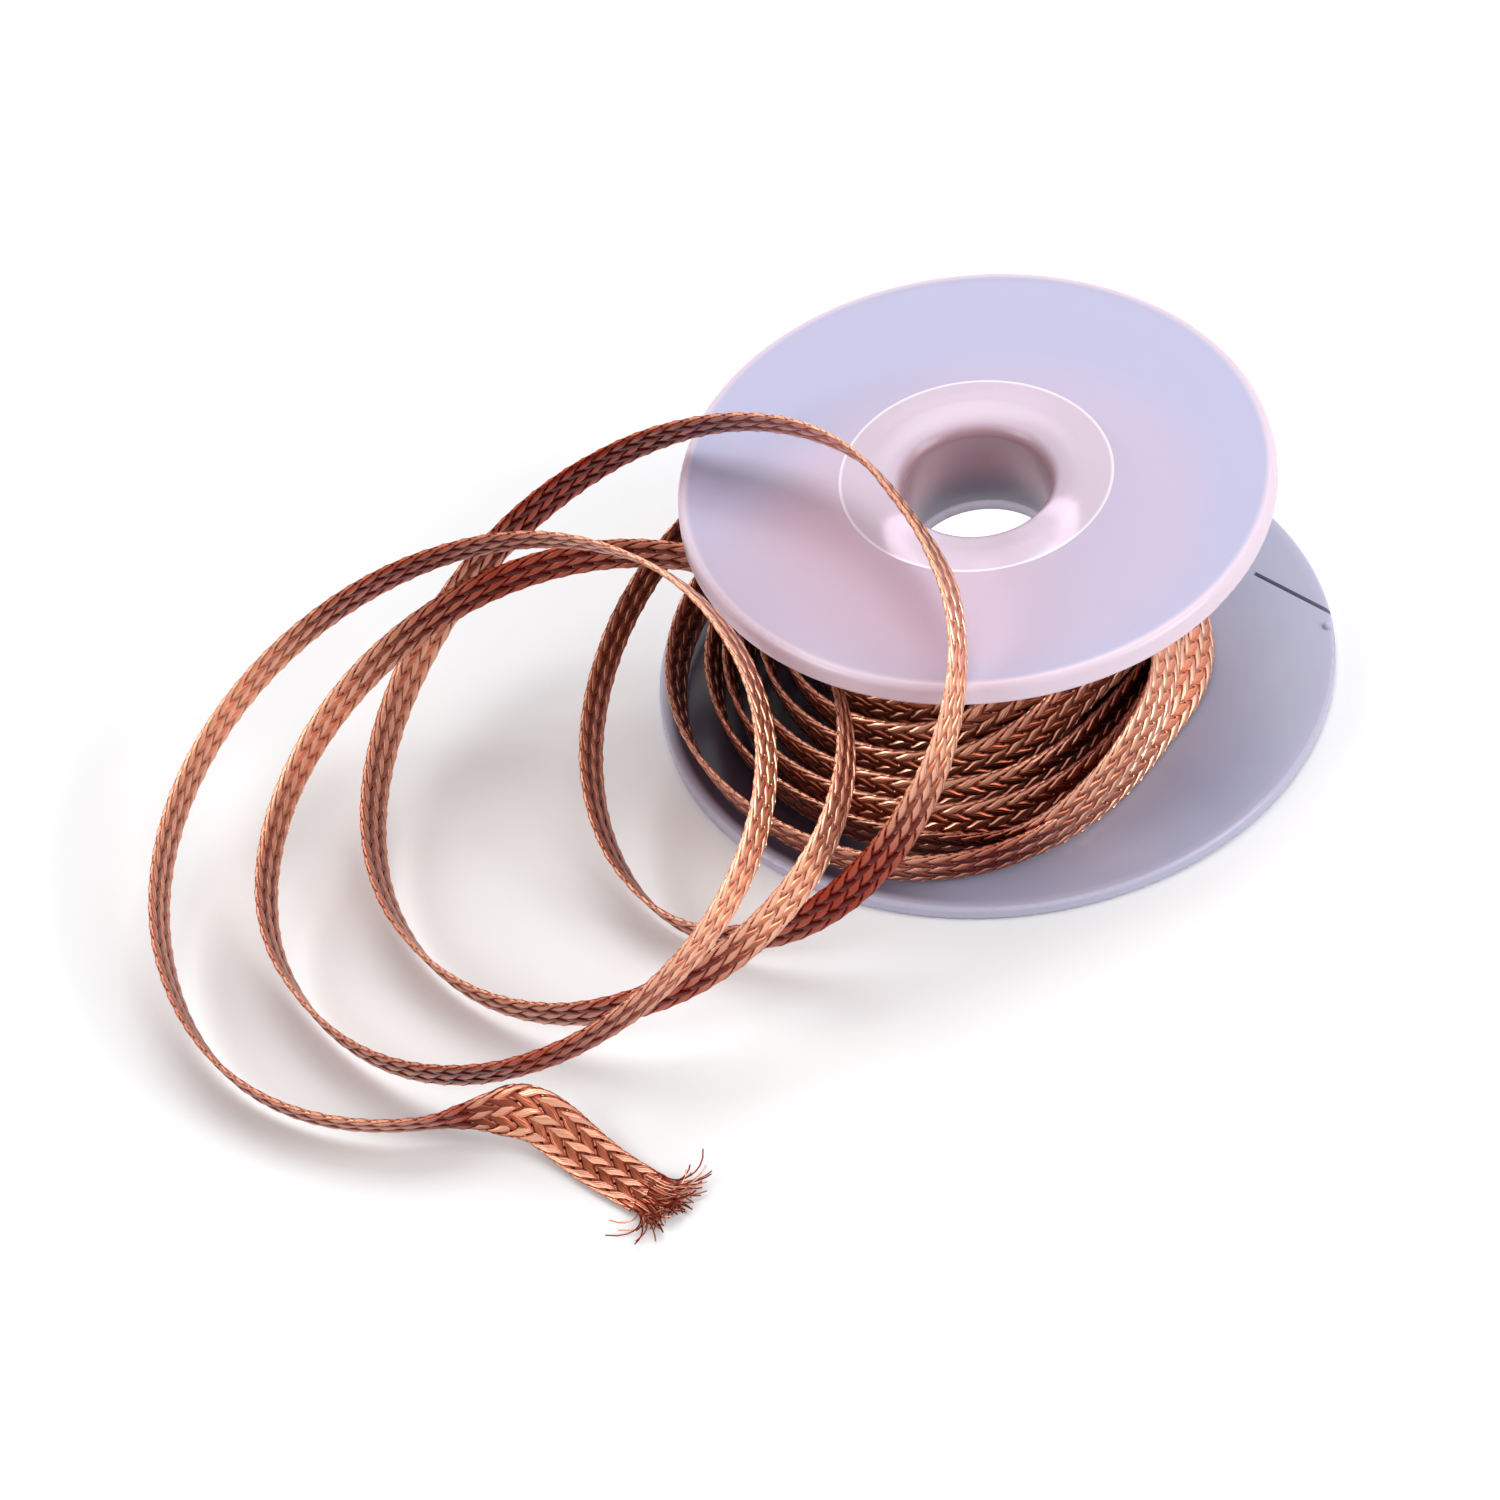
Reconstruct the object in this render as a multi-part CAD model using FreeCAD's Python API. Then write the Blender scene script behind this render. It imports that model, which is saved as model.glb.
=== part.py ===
import FreeCAD, Part
import math
import os

# Wire spool: a two-flange bobbin with a flat copper braid wound on it.
# The outer turns have sprung loose and the free end fans out to the left.
# Frame: origin at the bottom centre of the bobbin, +Z up along the bore,
# +X to the right in the photograph, +Y away from the camera. Millimetres.

Vector = FreeCAD.Vector

# Bobbin
SPOOL_HEIGHT = 17.6
LOWER_FLANGE_DIAMETER = 43.0
LOWER_FLANGE_THICKNESS = 1.0
LOWER_EDGE_ROUND = 0.25
UPPER_FLANGE_DIAMETER = 37.4
UPPER_FLANGE_THICKNESS = 1.7
UPPER_EDGE_ROUND = 0.45
SLEEVE_DIAMETER = 17.2
UPPER_BORE_DIAMETER = 9.2
FUNNEL_MOUTH_DIAMETER = 13.6
FUNNEL_DEPTH = 1.2
POST_DIAMETER = 12.2
POST_HEIGHT = 10.2
POST_BORE_DIAMETER = 5.6
SPINDLE_LEAD_IN = 0.3

# Wire slit and nib at the edge of the lower flange
SLIT_WIDTH = 0.3
SLIT_INNER_RADIUS = 17.9
SLIT_INNER_AZIMUTH = 16.3
SLIT_OUTER_AZIMUTH = 1.5
NIB_RADIUS = 0.3
NIB_INSET = 0.4

# Flat braid
BRAID_WIDTH = 3.5
BRAID_THICKNESS = 0.6
CORE_WALL = 0.4
CORE_RUNNING_CLEARANCE = 0.05
CORE_END_CLEARANCE = 0.2
LAYER_CLEARANCE = 0.15
FLANGE_CLEARANCE = 0.15

# Turns are counted in half turns, clockwise seen from above.
# Half turn k is reached at this azimuth less 180 degrees times k.
STATION_AZIMUTH = 20.0

# Free loops: where each half turn is centred, its radius, its mid height and how far it
# rises towards RISE_AZIMUTH. The first loop is the lowest and widest.
RISE_AZIMUTH = 38.8
LOOP_STATIONS = [
    # centre x, centre y, radius, mid height, rise
    (-29.8, -4.1, 23.5, 6.3, 4.8),
    (-33.0, -16.7, 20.9, 6.6, 4.4),
    (-36.6, -18.8, 21.5, 10.7, 7.1),
    (-32.2, -14.8, 15.3, 9.9, 8.0),
    (-25.1, -12.2, 14.4, 10.3, 3.4),
    (-20.2, -9.6, 20.5, 10.7, 8.9),
    (-14.9, -7.7, 9.7, 22.4, -0.3),
    (-5.2, -8.3, 21.4, 14.5, 11.8),
    (0.0, 0.0, 13.8, 2.9, 0.0),
]
CREASE_K = 0.655
LOOPS_END_K = 7.36
CREASE_LEAN = -5.0

# Where loops cross, each is moved back from the camera's side (more) or towards it (less)
PART_DIRECTION = (0.0, 0.708, -0.706)
PARTINGS = [
    # half turn, how far, over how many half turns
    (1.72, -2.9, 0.3),
    (2.02, -0.8, 0.15),
    (2.9, -0.3, 0.2),
    (3.85, 0.4, 0.2),
    (4.46, -0.4, 0.25),
    (4.95, -0.5, 0.2),
    (5.3, 3.7, 0.2),
    (5.62, -0.8, 0.12),
    (6.35, -0.9, 0.14),
    (6.72, 3.5, 0.2),
]

# Entry: the stretch behind the hub where the free loops join the loosened turns
ENTRY_MIDDLE = (16.6, 86.0, 7.8)
ENTRY_MIDDLE_SLOPE = (-2.4, -4.2)

# Loosened turns, nested. On the right they lie close; on the left they have sprung out to
# these radii, from the outermost in. The bulge runs between two shares of the half turn.
TURN_SPACING = 1.05
NESTED_TURNS = 4
LEFT_RADII = [20.5, 18.4, 17.3, 16.1, 15.0, 11.0, 9.9]
BULGE_START = 0.28
BULGE_END = 0.82

# Inner turns climb the hub from this half turn on
CLIMB_K = 15
CLIMB_PITCH = 3.95

# Free end, flat on the floor, from the crease on: centre line and the lean of the width
# direction, 0 standing and 90 lying.
TAIL_POINTS = [
    (-33.3, -34.3, 2.7, 8.0),
    (-31.9, -34.3, 1.85, 30.0),
    (-30.7, -35.2, 1.15, 60.0),
    (-29.6, -36.5, 0.65, 80.0),
    (-28.0, -38.4, 0.4, 89.0),
    (-25.9, -40.5, 0.36, 90.0),
]

# Frayed end: bundles of wires in two rows
BUNDLE_COLUMNS = 8
BUNDLE_ROWS = 2
BUNDLE_DIAMETER = 0.26
BUNDLE_LENGTH = 3.2
BUNDLE_SPREAD = 14.0

# Steps of the routes
SECTIONS_PER_TURN = 24
MEASURED_PER_TURN = 96

# Worked out from the sizes above
sleeve_radius = SLEEVE_DIAMETER / 2
post_radius = POST_DIAMETER / 2
upper_flange_bottom = SPOOL_HEIGHT - UPPER_FLANGE_THICKNESS
core_radius = sleeve_radius + CORE_RUNNING_CLEARANCE + CORE_WALL
inner_turn_radius = core_radius + LAYER_CLEARANCE + BRAID_THICKNESS / 2
lowest_turn = LOWER_FLANGE_THICKNESS + FLANGE_CLEARANCE + BRAID_WIDTH / 2
highest_turn = upper_flange_bottom - FLANGE_CLEARANCE - BRAID_WIDTH / 2
first_wound_k = len(LOOP_STATIONS) - 1
inner_start_k = first_wound_k + 2 * NESTED_TURNS
wound_end_k = CLIMB_K + 2 * (highest_turn - lowest_turn) / CLIMB_PITCH


def revolved(profile):
    """A solid turned about the Z axis from a closed list of edges in the XZ plane."""
    face = Part.Face(Part.Wire(profile))
    return face.revolve(Vector(0, 0, 0), Vector(0, 0, 1), 360)


def closed_profile(corners):
    """Straight edges through (radius, height) corners, closed."""
    points = [Vector(radius, 0, height) for radius, height in corners]
    points.append(points[0])
    return [Part.makeLine(a, b) for a, b in zip(points, points[1:])]


def circle_edges(shape, radius, height):
    """The circular edges of a shape with this radius at this height."""
    found = []
    for edge in shape.Edges:
        curve = edge.Curve
        if not isinstance(curve, Part.Circle):
            continue
        if abs(curve.Radius - radius) < 1e-6 and abs(curve.Center.z - height) < 1e-6:
            found.append(edge)
    return found


def polar(radius, azimuth, height):
    """A point from its radius, azimuth in degrees and height."""
    angle = math.radians(azimuth)
    return Vector(radius * math.cos(angle), radius * math.sin(angle), height)


# Bobbin


def make_lower_flange():
    """Disc and centre post in one moulding, with the wire slit and the nib."""
    rim = LOWER_FLANGE_DIAMETER / 2
    bore = POST_BORE_DIAMETER / 2
    top = LOWER_FLANGE_THICKNESS
    corners = [
        (bore, 0), (rim, 0), (rim, top), (post_radius, top),
        (post_radius, POST_HEIGHT), (bore, POST_HEIGHT),
    ]
    body = revolved(closed_profile(corners))
    edges = circle_edges(body, rim, 0) + circle_edges(body, rim, top)
    body = body.makeFillet(LOWER_EDGE_ROUND, edges)
    edges = circle_edges(body, bore, 0) + circle_edges(body, bore, POST_HEIGHT)
    body = body.makeChamfer(SPINDLE_LEAD_IN, edges)
    inner = polar(SLIT_INNER_RADIUS, SLIT_INNER_AZIMUTH, 0)
    outer = polar(rim, SLIT_OUTER_AZIMUTH, 0)
    along = (outer - inner).normalize()
    length = (outer - inner).Length + LOWER_FLANGE_THICKNESS
    slit = Part.makeBox(length, SLIT_WIDTH, 3 * top)
    slit.translate(Vector(0, -SLIT_WIDTH / 2, -top))
    slit.rotate(Vector(0, 0, 0), Vector(0, 0, 1), math.degrees(math.atan2(along.y, along.x)))
    slit.translate(inner)
    nib_azimuth = SLIT_OUTER_AZIMUTH - math.degrees(4 * NIB_RADIUS / rim)
    nib = Part.makeSphere(NIB_RADIUS, polar(rim - NIB_INSET, nib_azimuth, top))
    return body.cut(slit).fuse(nib).removeSplitter()


def make_hub_sleeve():
    """Sleeve pressed over the centre post, with the rounded funnel mouth at its top."""
    bore = UPPER_BORE_DIAMETER / 2
    mouth = FUNNEL_MOUTH_DIAMETER / 2
    throat = SPOOL_HEIGHT - FUNNEL_DEPTH
    centre = Vector(mouth, 0, throat)
    side = Vector(2 * mouth - bore, 0, throat)
    rounding = Part.Ellipse(side, Vector(mouth, 0, SPOOL_HEIGHT), centre)
    corners = [
        (mouth, SPOOL_HEIGHT), (sleeve_radius, SPOOL_HEIGHT),
        (sleeve_radius, LOWER_FLANGE_THICKNESS), (post_radius, LOWER_FLANGE_THICKNESS),
        (post_radius, POST_HEIGHT), (bore, POST_HEIGHT), (bore, throat),
    ]
    points = [Vector(radius, 0, height) for radius, height in corners]
    edges = [Part.makeLine(a, b) for a, b in zip(points, points[1:])]
    edges.append(Part.ArcOfEllipse(rounding, math.pi / 2, math.pi).toShape())
    return revolved(edges)


def make_upper_flange():
    """Flat ring pressed on the sleeve, with a rounded rim."""
    rim = UPPER_FLANGE_DIAMETER / 2
    corners = [
        (sleeve_radius, upper_flange_bottom), (rim, upper_flange_bottom),
        (rim, SPOOL_HEIGHT), (sleeve_radius, SPOOL_HEIGHT),
    ]
    ring = revolved(closed_profile(corners))
    edges = circle_edges(ring, rim, upper_flange_bottom) + circle_edges(ring, rim, SPOOL_HEIGHT)
    return ring.makeFillet(UPPER_EDGE_ROUND, edges)


# Routes of the braid


def eased(share):
    """0 to 1 with a level start and end."""
    return (1 - math.cos(math.pi * share)) / 2


def loop_point(k):
    """A point of the free loops at half turn k."""
    index = min(int(k), len(LOOP_STATIONS) - 2)
    share = eased(k - index)
    pairs = zip(LOOP_STATIONS[index], LOOP_STATIONS[index + 1])
    x, y, radius, mid, rise = [a + (b - a) * share for a, b in pairs]
    azimuth = STATION_AZIMUTH - 180 * k
    height = mid + rise * math.cos(math.radians(azimuth - RISE_AZIMUTH))
    apart = sum(far * math.exp(-((k - at) / over) ** 2) for at, far, over in PARTINGS)
    return Vector(x, y, height) + polar(radius, azimuth, 0) + Vector(*PART_DIRECTION) * apart


def joined(start, start_slope, end, end_slope, span, share):
    """A cubic from start to end over a span, with these slopes at its ends."""
    rest = 1 - share
    value = start * (1 + 2 * share) * rest ** 2 + end * (3 - 2 * share) * share ** 2
    return value + span * (start_slope * share * rest ** 2 - end_slope * rest * share ** 2)


def entry_start():
    """Radius, azimuth and height where the free loops end, and the slopes per radian there."""
    here = loop_point(LOOPS_END_K)
    before = loop_point(LOOPS_END_K - 1e-3)
    radius = math.hypot(here.x, here.y)
    azimuth = math.degrees(math.atan2(here.y, here.x))
    step = math.atan2(before.y, before.x) - math.atan2(here.y, here.x)
    radius_slope = (radius - math.hypot(before.x, before.y)) / step
    height_slope = (here.z - before.z) / step
    return (radius, azimuth, here.z), (radius_slope, height_slope)


def entry_point(k):
    """A point of the entry: in behind the hub, over the loosened turns and down outside them."""
    start, start_slope = entry_start()
    share = (k - LOOPS_END_K) / (first_wound_k - LOOPS_END_K)
    end = (wound_radius(0), STATION_AZIMUTH, lowest_turn)
    azimuth = start[1] + (end[1] - start[1]) * share
    knots = [(start, start_slope), (ENTRY_MIDDLE, ENTRY_MIDDLE_SLOPE), (end, (0, 0))]
    index = 0 if azimuth > ENTRY_MIDDLE[1] else 1
    (first, first_slope), (last, last_slope) = knots[index], knots[index + 1]
    part = (first[1] - azimuth) / (first[1] - last[1])
    span = math.radians(first[1] - last[1])
    radius = joined(first[0], first_slope[0], last[0], last_slope[0], span, part)
    height = joined(first[2], first_slope[1], last[2], last_slope[1], span, part)
    return polar(radius, azimuth, height)


def wound_radius(station):
    """Radius at a half turn of the winding: even ones lie right, odd ones left."""
    if station % 2 == 1:
        return LEFT_RADII[station // 2]
    return inner_turn_radius + TURN_SPACING * max(NESTED_TURNS - station // 2, 0)


def wound_point(k):
    """A point of the winding at half turn k."""
    station = int(k) - first_wound_k
    share = k - int(k)
    if station % 2 == 0:
        share = min(max((share - BULGE_START) / (BULGE_END - BULGE_START), 0), 1)
    radius_a, radius_b = wound_radius(station), wound_radius(station + 1)
    radius = radius_a + (radius_b - radius_a) * eased(share)
    height = lowest_turn + max(k - CLIMB_K, 0) * CLIMB_PITCH / 2
    return polar(radius, STATION_AZIMUTH - 180 * k, height)


def route_point(k):
    """A point of the whole route, from the crease inward."""
    if k <= LOOPS_END_K:
        return loop_point(k)
    if k < first_wound_k:
        return entry_point(k)
    return wound_point(k)


def route_steps(start, end, per_turn):
    """Evenly spaced half-turn counts from start to end."""
    count = max(2, round((end - start) / 2 * per_turn))
    return [start + (end - start) * i / count for i in range(count + 1)]


def direction(k):
    """Unit tangent of the route, inward."""
    small = 1e-3
    return (route_point(k + small) - route_point(k - small)).normalize()


def upright(tangent):
    """The direction square to the tangent that is nearest to straight up."""
    up = Vector(0, 0, 1)
    return (up - tangent * tangent.dot(up)).normalize()


def leaning(tangent, lean):
    """The upright direction turned about the tangent by lean degrees."""
    up = upright(tangent)
    aside = tangent.cross(up)
    angle = math.radians(lean)
    return up * math.cos(angle) + aside * math.sin(angle)


def lean_of(tangent, width):
    """The lean, in degrees, of a width direction."""
    up = upright(tangent)
    return math.degrees(math.atan2(width.dot(tangent.cross(up)), width.dot(up)))


def carried_widths(steps, width):
    """Width directions carried along the route without twist, as a springy ribbon lies."""
    widths = []
    for k in steps:
        tangent = direction(k)
        width = (width - tangent * tangent.dot(width)).normalize()
        widths.append(width)
    return widths


# Solids of the braid


def braid_corners(point, tangent, width):
    """The four corners of the rectangle that the braid fills, square to its route."""
    across = width * (BRAID_WIDTH / 2)
    through = tangent.cross(width).normalize() * (BRAID_THICKNESS / 2)
    offsets = [across + through, through - across, -across - through, across - through]
    return [point + offset for offset in offsets]


def ruled_face(a, b, c, d):
    """The ruled face between the edges ab and dc."""
    return Part.makeRuledSurface(Part.makeLine(a, b), Part.makeLine(d, c))


def braid_solid(points, tangents, widths):
    """One unbroken flat ribbon, ruled between its sections."""
    sections = [braid_corners(*frame) for frame in zip(points, tangents, widths)]
    faces = []
    for near, far in zip(sections, sections[1:]):
        for i in range(4):
            j = (i + 1) % 4
            faces.append(ruled_face(near[i], near[j], far[j], far[i]))
    for end in (sections[0], sections[-1]):
        faces.append(Part.Face(Part.makePolygon(end + [end[0]])))
    shell = Part.makeShell(faces)
    shell.sewShape()
    solid = Part.makeSolid(shell)
    if solid.Volume < 0:
        solid.reverse()
    return solid


def ribbon_length(points):
    """Length of a line through points."""
    return sum((b - a).Length for a, b in zip(points, points[1:]))


def make_ribbon(steps, widths):
    """A ribbon along the route."""
    points = [route_point(k) for k in steps]
    tangents = [direction(k) for k in steps]
    return braid_solid(points, tangents, widths)


def loops_frames(per_turn):
    """Steps and width directions of the free loops."""
    steps = route_steps(CREASE_K, LOOPS_END_K, per_turn)
    fine = route_steps(CREASE_K, LOOPS_END_K, MEASURED_PER_TURN)
    carried = carried_widths(fine, leaning(direction(CREASE_K), CREASE_LEAN))
    widths = []
    for k in steps:
        share = (k - CREASE_K) / (LOOPS_END_K - CREASE_K)
        widths.append(carried[round(share * (len(fine) - 1))])
    return steps, [square_to(direction(k), width) for k, width in zip(steps, widths)]


def square_to(tangent, width):
    """A width direction made exactly square to the tangent."""
    return (width - tangent * tangent.dot(width)).normalize()


def entry_frames(per_turn):
    """Steps and widths of the entry, where the free loops turn upright behind the hub."""
    steps = route_steps(LOOPS_END_K, first_wound_k, per_turn)
    last_width = loops_frames(SECTIONS_PER_TURN)[1][-1]
    lean = lean_of(direction(LOOPS_END_K), last_width)
    widths = []
    for k in steps:
        share = (k - LOOPS_END_K) / (first_wound_k - LOOPS_END_K)
        widths.append(leaning(direction(k), lean * (1 - eased(share))))
    return steps, widths


def upright_frames(start, end, per_turn):
    """Steps and widths of turns that stand on the flange."""
    steps = route_steps(start, end, per_turn)
    return steps, [upright(direction(k)) for k in steps]


def make_tail():
    """The free end: it falls over at the crease and lies flat to the cut."""
    points = [Vector(*values[:3]) for values in TAIL_POINTS]
    points.insert(0, route_point(CREASE_K))
    leans = [CREASE_LEAN] + [values[3] for values in TAIL_POINTS]
    tangents = []
    for i, point in enumerate(points):
        before = points[max(i - 1, 0)]
        after = points[min(i + 1, len(points) - 1)]
        tangents.append((before - after).normalize())
    tangents[0] = direction(CREASE_K)
    widths = [leaning(tangent, lean) for tangent, lean in zip(tangents, leans)]
    return braid_solid(points, tangents, widths), points, tangents, widths


def make_bundle(end, outward, width, column, row):
    """One wire bundle of the frayed end, splayed by its place in the braid."""
    place = (column + 0.5) / BUNDLE_COLUMNS - 0.5
    side = width * (place * (BRAID_WIDTH - BUNDLE_DIAMETER))
    step = BRAID_THICKNESS / BUNDLE_ROWS
    lift = Vector(0, 0, (row + 0.5) * step - BRAID_THICKNESS / 2)
    uneven = math.sin(5.1 * column + 2.3 * row)
    spread = math.radians(2 * place * BUNDLE_SPREAD + 4 * uneven)
    heading = outward * math.cos(spread) + width * math.sin(spread)
    climb = Vector(0, 0, 0.12 + 0.1 * row + 0.05 * uneven)
    length = BUNDLE_LENGTH * (0.85 + 0.15 * math.cos(3.7 * column + 1.9 * row))
    start = end + side + lift
    middle = start + (outward + heading).normalize() * (length / 2) + climb * 0.25
    finish = middle + (heading + climb).normalize() * (length / 2)
    wires = []
    for point, along in ((start, outward), (middle, heading), (finish, heading + climb)):
        circle = Part.Circle(point, along, BUNDLE_DIAMETER / 2)
        wires.append(Part.Wire(circle.toShape()))
    return Part.makeLoft(wires, True, True)


def make_winding_core():
    """The innermost layer as one plain drum, free to turn on the sleeve."""
    bore = core_radius - CORE_WALL
    bottom = LOWER_FLANGE_THICKNESS + CORE_END_CLEARANCE
    top = upper_flange_bottom - CORE_END_CLEARANCE
    corners = [(bore, bottom), (core_radius, bottom), (core_radius, top), (bore, top)]
    return revolved(closed_profile(corners))


# Checks on the route


def face_rows(steps, widths):
    """Points across both faces of the ribbon at each step."""
    rows = []
    for k, width in zip(steps, widths):
        through = direction(k).cross(width).normalize() * (BRAID_THICKNESS / 2)
        middle = route_point(k)
        row = []
        for share in (-1, -0.5, 0, 0.5, 1):
            centre = middle + width * (BRAID_WIDTH / 2 * share)
            row += [centre + through, centre - through]
        rows.append((middle, row))
    return rows


def least_gap(steps, widths):
    """Least gap of the ribbon to itself, between stretches over half a half turn apart."""
    rows = face_rows(steps, widths)
    least = (1e9, 0, 0)
    reach = BRAID_WIDTH * 1.5
    for i, (middle, row) in enumerate(rows):
        for j in range(i + 1, len(rows)):
            if steps[j] - steps[i] < 0.6 or (rows[j][0] - middle).Length > reach:
                continue
            distance = min((a - b).Length for a in row for b in rows[j][1])
            least = min(least, (distance, steps[i], steps[j]))
    return least


def report_route():
    """Print the lengths and the least gaps."""
    loops = loops_frames(MEASURED_PER_TURN)
    entry = entry_frames(MEASURED_PER_TURN)
    loose = upright_frames(first_wound_k, inner_start_k, MEASURED_PER_TURN)
    inner = upright_frames(inner_start_k, wound_end_k, MEASURED_PER_TURN)
    for name, frames in (("loops", loops), ("entry", entry), ("loosened", loose), ("inner", inner)):
        length = ribbon_length([route_point(k) for k in frames[0]])
        print(name, "length", round(length, 1))
    free = loops[0] + entry[0][1:], loops[1] + entry[1][1:]
    wound = entry[0] + loose[0][1:] + inner[0][1:], entry[1] + loose[1][1:] + inner[1][1:]
    whole = loops[0] + wound[0][1:], loops[1] + wound[1][1:]
    for name, (steps, widths) in (("free loops", free), ("winding", wound), ("whole", whole)):
        gap, first, second = least_gap(steps, widths)
        print(name, "least gap", round(gap, 2), "at half turns", round(first, 2), round(second, 2))


def make_all():
    """Every sub-part under its node name."""
    tail, points, tangents, widths = make_tail()
    nodes = {
        "lower_flange": make_lower_flange(),
        "hub_sleeve": make_hub_sleeve(),
        "upper_flange": make_upper_flange(),
        "winding_core": make_winding_core(),
        "braid_loops": make_ribbon(*loops_frames(SECTIONS_PER_TURN)),
        "braid_entry": make_ribbon(*entry_frames(SECTIONS_PER_TURN)),
        "loosened_turns": make_ribbon(
            *upright_frames(first_wound_k, inner_start_k, SECTIONS_PER_TURN)),
        "inner_turns": make_ribbon(
            *upright_frames(inner_start_k, wound_end_k, SECTIONS_PER_TURN)),
        "braid_tail": tail,
    }
    for row in range(BUNDLE_ROWS):
        for column in range(BUNDLE_COLUMNS):
            number = row * BUNDLE_COLUMNS + column + 1
            bundle = make_bundle(points[-1], -tangents[-1], widths[-1], column, row)
            nodes[f"frayed_bundle_{number:02d}"] = bundle
    return nodes


os.makedirs("parts", exist_ok=True)
for name, shape in make_all().items():
    box = shape.BoundBox
    print(name, shape.isValid(), len(shape.Solids), round(shape.Volume, 2),
          [round(v, 2) for v in (box.XMin, box.XMax, box.YMin, box.YMax, box.ZMin, box.ZMax)])
    shape.exportStep(f"parts/{name}.step")
report_route()
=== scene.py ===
# %% [markdown]
# A small wire spool. Two milky plastic flanges sit on a hub, and a flat copper braid is
# wound between them. Its outer turns have sprung loose and its free end fans out to the left.
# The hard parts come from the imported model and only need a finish. The braid is made here, wire
# bundle by wire bundle, because its weave is what the eye looks at.

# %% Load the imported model
import math

import bpy
import numpy as np
from mathutils import Matrix, Vector


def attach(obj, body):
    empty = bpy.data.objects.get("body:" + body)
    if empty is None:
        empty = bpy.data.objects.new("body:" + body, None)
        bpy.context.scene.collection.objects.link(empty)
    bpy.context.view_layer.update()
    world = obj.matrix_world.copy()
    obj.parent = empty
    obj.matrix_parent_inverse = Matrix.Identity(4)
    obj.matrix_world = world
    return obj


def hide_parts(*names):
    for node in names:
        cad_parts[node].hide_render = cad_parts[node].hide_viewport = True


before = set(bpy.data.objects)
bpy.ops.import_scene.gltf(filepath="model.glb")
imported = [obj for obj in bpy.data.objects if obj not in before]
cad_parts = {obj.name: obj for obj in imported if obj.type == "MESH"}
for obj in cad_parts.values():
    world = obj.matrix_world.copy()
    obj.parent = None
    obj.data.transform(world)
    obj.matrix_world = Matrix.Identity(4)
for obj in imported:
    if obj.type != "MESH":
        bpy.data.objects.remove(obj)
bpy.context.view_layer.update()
MM = 0.001
scene = bpy.context.scene
scene.view_settings.view_transform = "Standard"

# %% [markdown]
# The camera looks down at 45 degrees and is rolled a little, so the spool leans to the right.
# Its place follows from one fact: the centre of the spool's base lands on a known pixel of a
# picture 1500 pixels wide. Moving the camera sideways, rather than shifting the lens, puts it
# there. The angles, the focal length and that pixel were fitted to the outlines of the flanges in
# the photograph.

# %% Camera
PICTURE = 1500
CAMERA_DISTANCE = 600 * MM
CAMERA_ELEVATION = math.radians(45.07)
CAMERA_ROLL = math.radians(-7.63)
FOCAL_PIXELS = 9445
BASE_PIXEL = (997.5, 674.7)
SENSOR_MM = 36


def place_camera():
    """Makes the camera from the picture's facts."""
    ahead = Vector((0, math.cos(CAMERA_ELEVATION), -math.sin(CAMERA_ELEVATION)))
    level_up = Vector((0, math.sin(CAMERA_ELEVATION), math.cos(CAMERA_ELEVATION)))
    across = Vector((1, 0, 0))
    right = across * math.cos(CAMERA_ROLL) + level_up * math.sin(CAMERA_ROLL)
    up = level_up * math.cos(CAMERA_ROLL) - across * math.sin(CAMERA_ROLL)
    scale = CAMERA_DISTANCE / FOCAL_PIXELS
    sideways = right * ((PICTURE / 2 - BASE_PIXEL[0]) * scale)
    place = sideways - up * ((PICTURE / 2 - BASE_PIXEL[1]) * scale) - ahead * CAMERA_DISTANCE
    data = bpy.data.cameras.new("camera")
    data.sensor_width = SENSOR_MM
    data.lens = FOCAL_PIXELS * SENSOR_MM / PICTURE
    data.clip_start = 0.01
    camera = bpy.data.objects.new("camera", data)
    scene.collection.objects.link(camera)
    turn = Matrix((right, up, -ahead)).transposed().to_4x4()
    camera.matrix_world = Matrix.Translation(place) @ turn
    scene.camera = camera
    return camera


camera = place_camera()
print("lens", round(camera.data.lens, 1), "mm")

# %% [markdown]
# The free end lies in nearly four loose loops. Seen from above each half turn is nearly an arc,
# with a centre, a radius, a middle height and a rise towards the spool. Blending one half turn into
# the next gives one smooth line that can be followed from the cut end to the hub. Where loops
# cross, one is moved a little away from the other. The numbers of the half turns were fitted to
# the loops in the photograph and then rounded; the other tables here were given one by one.

# %% The route of the free braid
STATION_AZIMUTH = 20.0
RISE_AZIMUTH = 38.8
LOOP_STATIONS = [
    # centre x, centre y, radius, mid height, rise, in millimetres
    (-29.8, -4.1, 23.5, 6.3, 4.8),
    (-33.0, -16.7, 20.9, 6.6, 4.4),
    (-36.6, -18.8, 21.5, 10.7, 7.1),
    (-32.2, -14.8, 15.3, 9.9, 8.0),
    (-25.1, -12.2, 14.4, 10.3, 3.4),
    (-20.2, -9.6, 20.5, 10.7, 8.9),
    (-14.9, -7.7, 9.7, 22.4, -0.3),
    (-5.2, -8.3, 21.4, 14.5, 11.8),
    (0.0, 0.0, 13.8, 2.9, 0.0),
]
CREASE_K = 0.655
LOOPS_END_K = 7.36
WOUND_K = 8
PART_DIRECTION = Vector((0.0, 0.708, -0.706))
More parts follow.
